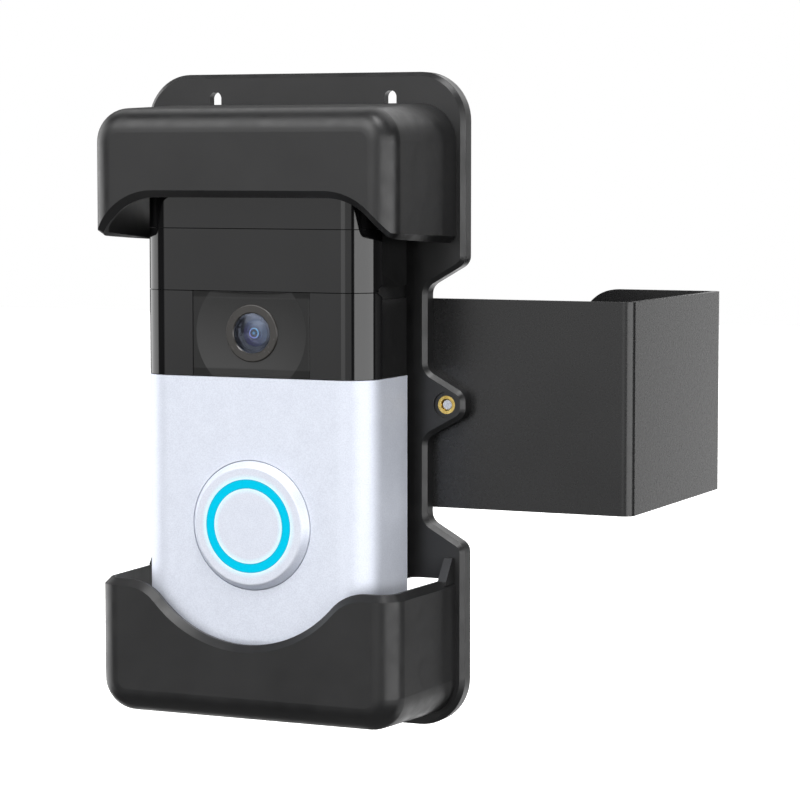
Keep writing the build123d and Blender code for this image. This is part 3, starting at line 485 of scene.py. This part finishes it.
def lens_interior():
    """Black stepped baffle, and the second lens with its rings of painted reflection, in place of the plain
    barrel.
    """
    low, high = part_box("lens_barrel")
    centre = centre_of("lens_barrel")
    outer, neck, flare = (high.x - low.x) / 2, 0.0056, 0.0025
    mouth, throat, depth, steps = 0.0043, 0.0034, 0.0011, 4
    profile = [(outer, low.y), (mouth, low.y)]
    for i in range(steps):
        radius = mouth - (mouth - throat) * (i + 1) / steps
        y = low.y + depth * (i + 1) / steps
        profile += [(profile[-1][0] - 0.00004, y - 0.00005), (radius + 0.0001, y), (radius, y)]
    profile += [(throat, low.y + depth + 0.001), (0.0, low.y + depth + 0.001), (0.0, high.y), (neck, high.y),
                (neck, low.y + flare), (outer, low.y + flare)]
    baffle = lathe("lens_baffle", profile, centre.x, centre.z)
    baffle.data.materials.append(moulded("baffle_black", (0.004, 0.004, 0.006), (0.010, 0.010, 0.014), 0.3))
    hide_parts("lens_barrel")
    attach(baffle, "root")

    seat = low.y + depth
    dome = []
    dome_radius, dome_rise, back = throat - DOME_EDGE, 0.0009, seat + 0.0006
    for radius, y in cap_points(dome_radius, seat, dome_rise, 34):
        inner_rim = max(0.0, 1 - abs(radius - 0.00115) / 0.00016)
        outer_rim = max(0.0, 1 - abs(radius - 0.0020) / 0.00012)
        dome.append((radius, y - 0.00007 * (inner_rim + 0.6 * outer_rim)))
    dome += [(0.0, back), (dome_radius, back)]
    glass = lathe("lens_inner_glass", dome, centre.x, centre.z)
    glass.data.materials.append(painted_lens_reflections(centre.x, centre.z, throat))
    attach(glass, "root")


# ---- Clamp ----
def threaded_screw(name, node, body):
    """Socket-head screw with a real thread and a knurled head, in place of the plain one."""
    low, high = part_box(node)
    centre = centre_of(node)
    head_radius = (high.x - low.x) / 2
    bm = bmesh.new()
    around, per_pitch = 48, 10
    thread_start, thread_end = low.y + SCREW_TIP, high.y - SCREW_HEAD
    rows = int(round((thread_end - thread_start) / SCREW_PITCH * per_pitch))

    def ring(radius_at, y):
        reach = [(a, radius_at(a)) for a in turns(around)]
        return [bm.verts.new((centre.x + r * math.cos(a), y, centre.z + r * math.sin(a))) for a, r in reach]

    def thread(y):
        fade = min(1.0, (y - thread_start) / 0.0010, (thread_end - y) / 0.0012)

        def radius(angle):
            phase = ((y - thread_start) / SCREW_PITCH + angle / (2 * math.pi)) % 1.0
            crest = min(1.0, max(0.0, 1.35 - 2.7 * abs(phase - 0.5)))
            return SCREW_SHANK - THREAD_DEPTH * (1 - crest) * max(0.0, fade)
        return radius

    def knurl(angle):
        return head_radius - 0.00012 * (1 - abs(math.cos(angle * around / 4)))

    def hexagon(angle):
        sector = (angle + math.pi / 6) % (math.pi / 3) - math.pi / 6
        return SOCKET_HALF / math.cos(sector)

    def plain(radius):
        return lambda angle: radius

    outline = [(plain(SCREW_TIP_RADIUS - 0.0005), low.y), (plain(SCREW_TIP_RADIUS), low.y + 0.0003),
               (plain(SCREW_TIP_RADIUS), thread_start)]
    for i in range(rows + 1):
        y = thread_start + (thread_end - thread_start) * i / rows
        outline.append((thread(y), y))
    outline += [(plain(head_radius - 0.0004), thread_end), (knurl, thread_end + 0.0004),
                (knurl, high.y - 0.0007), (plain(head_radius - 0.0001), high.y - 0.0006),
                (plain(head_radius - 0.0006), high.y), (plain(SOCKET_HALF + 0.0006), high.y),
                (hexagon, high.y - 0.0003), (hexagon, high.y - SOCKET_DEPTH)]
    rings = [ring(radius_at, y) for radius_at, y in outline]
    for near, far in zip(rings, rings[1:]):
        for i in range(around):
            j = (i + 1) % around
            bm.faces.new([near[i], near[j], far[j], far[i]])
    bm.faces.new(rings[0])
    bm.faces.new(list(reversed(rings[-1])))
    piece = add_mesh(name, bm, 40.0)
    piece.data.materials.append(black_oxide())
    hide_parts(node)
    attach(piece, body)


def foam_pad():
    """Foam strip behind the clamp's front leg, with softened edges."""
    low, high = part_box("front_pad")
    fixing_low, fixing_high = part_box("clamp_fixing_screws")
    head_radius = (fixing_high.z - fixing_low.z) / 2
    curve = bpy.data.curves.new("foam_pad", "CURVE")
    curve.dimensions = "2D"
    curve.fill_mode = "BOTH"
    curve.extrude = (high.y - low.y) / 2 - PAD_ROUNDING
    curve.bevel_depth = PAD_ROUNDING
    curve.offset = -PAD_ROUNDING
    curve.bevel_resolution = 4

    def loop(points):
        spline = curve.splines.new("POLY")
        spline.points.add(len(points) - 1)
        for point, (x, z) in zip(spline.points, points):
            point.co = (x, z, 0, 1)
        spline.use_cyclic_u = True

    left, right = low.x + PAD_CORNER, high.x - PAD_CORNER
    bottom, top = low.z + PAD_CORNER, high.z - PAD_CORNER
    outline = []
    for quarter, (x, z) in enumerate([(right, top), (left, top), (left, bottom), (right, bottom)]):
        for i in range(9):
            a = math.pi / 2 * (quarter + i / 8)
            outline.append((x + PAD_CORNER * math.cos(a), z + PAD_CORNER * math.sin(a)))
    loop(outline)
    for hole_x in (fixing_low.x + head_radius, fixing_high.x - head_radius):
        loop([(hole_x + PAD_HOLE * math.cos(a), PAD_HOLE * math.sin(a)) for a in turns(40)])
    source = bpy.data.objects.new("foam_pad_outline", curve)
    bpy.context.scene.collection.objects.link(source)
    mesh = bpy.data.meshes.new_from_object(source)
    bpy.data.objects.remove(source)
    for v in mesh.vertices:
        v.co = Vector((v.co.x, (low.y + high.y) / 2 - v.co.z, v.co.y))
    mesh.name = "foam_pad"
    mesh.shade_smooth()
    mesh.set_sharp_from_angle(angle=math.radians(50))
    piece = bpy.data.objects.new("foam_pad", mesh)
    bpy.context.scene.collection.objects.link(piece)
    mesh.materials.clear()
    mesh.materials.append(foam())
    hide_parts("front_pad")
    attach(piece, "root")


# ---- Dress the CAD nodes ----
def dress():
    zinc, tin, yellow = zinc_plate(), tin_plate(), brass()
    plastic, housing = holder_plastic(), housing_plastic()
    gloss = gloss_plastic("gloss_black", (0.0035, 0.0035, 0.004), (0.006, 0.006, 0.0065), 0.05)
    paint(plastic, "holder_shell")
    paint(powder_coat(), "door_clamp", "pressure_plate")
    paint(housing, "rear_housing", "bell_bracket", "front_frame", "tact_switch", "speaker")
    paint(gloss, "top_cap", "motion_lens", "camera_cover")
    lens = centre_of("lens_bezel")
    paint(panel_gloss(lens.x, lens.z, DISH_RADIUS), "camera_panel")
    paint(gloss_plastic("bezel_black", (0.030, 0.028, 0.026), (0.040, 0.037, 0.034), 0.24), "lens_bezel")
    paint(silver_paint("silver_face"), "faceplate")
    ring_low, ring_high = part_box("button_light_ring")
    ring = centre_of("button_light_ring")
    outer = (ring_high.x - ring_low.x) / 2
    inner = outer - GLOW_WIDTH
    # the button cap's paint carries a painted glow from the light ring beside it
    paint(silver_paint("silver_button_painted_glow", (ring.x, ring.z, inner, outer, GLOW_REACH)), "button_cap")
    paint(lit_ring(ring.x, ring.z, inner, outer), "button_light_ring")
    paint(yellow, "tab_inserts", "terminal_screws", "wifi_antenna")
    paint(zinc, "clamp_fixing_screws", "bracket_screws", "rivet_nuts", "upper_retaining_ring",
          "lower_retaining_ring", "housing_screws", "motion_sensors", "button_spring")
    paint(tin, "radio_shield", "microphones", "usb_socket")
    paint(black_oxide(), "security_screws")
    paint(moulded_rubber("pad_rubber"), "pressure_pad", "housing_gasket")
    paint(circuit_board(), "sensor_board", "main_board", "ring_light_board")
    paint(battery_wrap(), "battery")
    paint(clear_epoxy(), "infrared_leds")
    paint(white_plastic(), "ring_leds", "switch_plunger")


# ---- Studio ----
def camera():
    data = bpy.data.cameras.new("camera")
    data.lens = 131.68
    data.sensor_width = 36.0
    made = bpy.data.objects.new("camera", data)
    made.location = (0.32210, -0.66236, 0.05930)
    made.rotation_euler = (math.radians(90 - 4.652), 0, math.radians(24.267))
    bpy.context.scene.collection.objects.link(made)
    bpy.context.scene.camera = made


def floor():
    bm = bmesh.new()
    bmesh.ops.create_grid(bm, x_segments=1, y_segments=1, size=12.0)
    made = add_mesh("floor", bm)
    made.location.z = cad_box[0].z - FLOOR_DROP
    s = Shader("floor_white", (0.9, 0.9, 0.9), 0.9)
    s.set("Emission Color", (1, 1, 1, 1))
    s.set("Emission Strength", 0.6)
    s.set("Specular IOR Level", 0.0)
    made.data.materials.append(s.material)
    made.visible_diffuse = False
    made.visible_glossy = False


# Soft boxes round the object, in degrees: azimuth from the front towards +X with its half width and soft
# edge, lowest and highest elevation with their soft edges, and brightness.
BOXES = [
    (-24.5, 16.5, 6, -6, 30, 62, 10, 1.35),
    (-1, 7, 3, -6, 30, 55, 10, 2.4),
    (16.5, 10.5, 3, -6, 30, 55, 10, 1.2),
    (72, 35, 3, -13, 6, 11, 6, 3.6),
    (-96, 27, 6, -22, 10, 26, 10, 2.2),
    (-22, 34, 12, 22, 10, 54, 10, 2.6),
    (46, 16, 10, 50, 8, 76, 8, 12.0),
    (180, 18, 2, -30, 20, 30, 20, 1.7),
    (132, 14, 8, -44, 10, -14, 10, 1.2),
    (-134, 14, 8, -44, 10, -8, 10, 1.2),
    (180, 70, 20, 34, 12, 70, 12, 1.2),
    (0, 180, 1, -91, 1, -52, 20, 0.14),
]
BASE_LIGHT = 0.08


def world():
    """White to look at, with soft boxes round the object to light it."""
    made = bpy.data.worlds.new("studio")
    bpy.context.scene.world = made
    made.use_nodes = True
    tree = made.node_tree
    tree.nodes.clear()

    def node(kind, **settings):
        new = tree.nodes.new(kind)
        for key, value in settings.items():
            setattr(new, key, value)
        return new

    def maths(operation, *values):
        new = node("ShaderNodeMath", operation=operation)
        for socket, value in zip(new.inputs, values):
            if isinstance(value, (int, float)):
                socket.default_value = value
            else:
                tree.links.new(value, socket)
        return new.outputs[0]

    parts = node("ShaderNodeSeparateXYZ")
    tree.links.new(node("ShaderNodeTexCoord").outputs["Generated"], parts.inputs["Vector"])
    degrees = 180 / math.pi
    forward = maths("MULTIPLY", parts.outputs["Y"], -1.0)
    azimuth = maths("MULTIPLY", maths("ARCTAN2", parts.outputs["X"], forward), degrees)
    elevation = maths("MULTIPLY", maths("ARCSINE", parts.outputs["Z"]), degrees)

    def step(value, middle, edge):
        """0 below middle and 1 above it, over a soft edge."""
        new = node("ShaderNodeMapRange", interpolation_type="SMOOTHSTEP")
        new.inputs["From Min"].default_value = middle - edge / 2
        new.inputs["From Max"].default_value = middle + edge / 2
        tree.links.new(value, new.inputs["Value"])
        return new.outputs["Result"]

    def turned_from(centre):
        away = maths("ADD", maths("SUBTRACT", azimuth, centre), 180.0)
        return maths("ABSOLUTE", maths("SUBTRACT", maths("FLOORED_MODULO", away, 360.0), 180.0))

    total = BASE_LIGHT
    for centre, half_width, side_edge, low, low_edge, high, high_edge, brightness in BOXES:
        outside = step(turned_from(centre), half_width, side_edge)
        across = maths("SUBTRACT", 1.0, outside)
        upright = maths("SUBTRACT", step(elevation, low, low_edge), step(elevation, high, high_edge))
        total = maths("ADD", maths("MULTIPLY", maths("MULTIPLY", across, upright), brightness), total)
    background = node("ShaderNodeBackground")
    tree.links.new(total, background.inputs["Strength"])
    background.inputs["Color"].default_value = (1, 1, 1, 1)
    white = node("ShaderNodeBackground")
    white.inputs["Color"].default_value = (1, 1, 1, 1)
    mix = node("ShaderNodeMixShader")
    tree.links.new(node("ShaderNodeLightPath").outputs["Is Camera Ray"], mix.inputs["Fac"])
    tree.links.new(background.outputs[0], mix.inputs[1])
    tree.links.new(white.outputs[0], mix.inputs[2])
    tree.links.new(mix.outputs[0], node("ShaderNodeOutputWorld").inputs["Surface"])


camera()
floor()
world()
dress()
lens_front()
lens_interior()
threaded_screw("upper_screw_detailed", "upper_clamp_screw", "upper_screw")
threaded_screw("lower_screw_detailed", "lower_clamp_screw", "lower_screw")
foam_pad()
bpy.context.scene.view_settings.view_transform = "Standard"
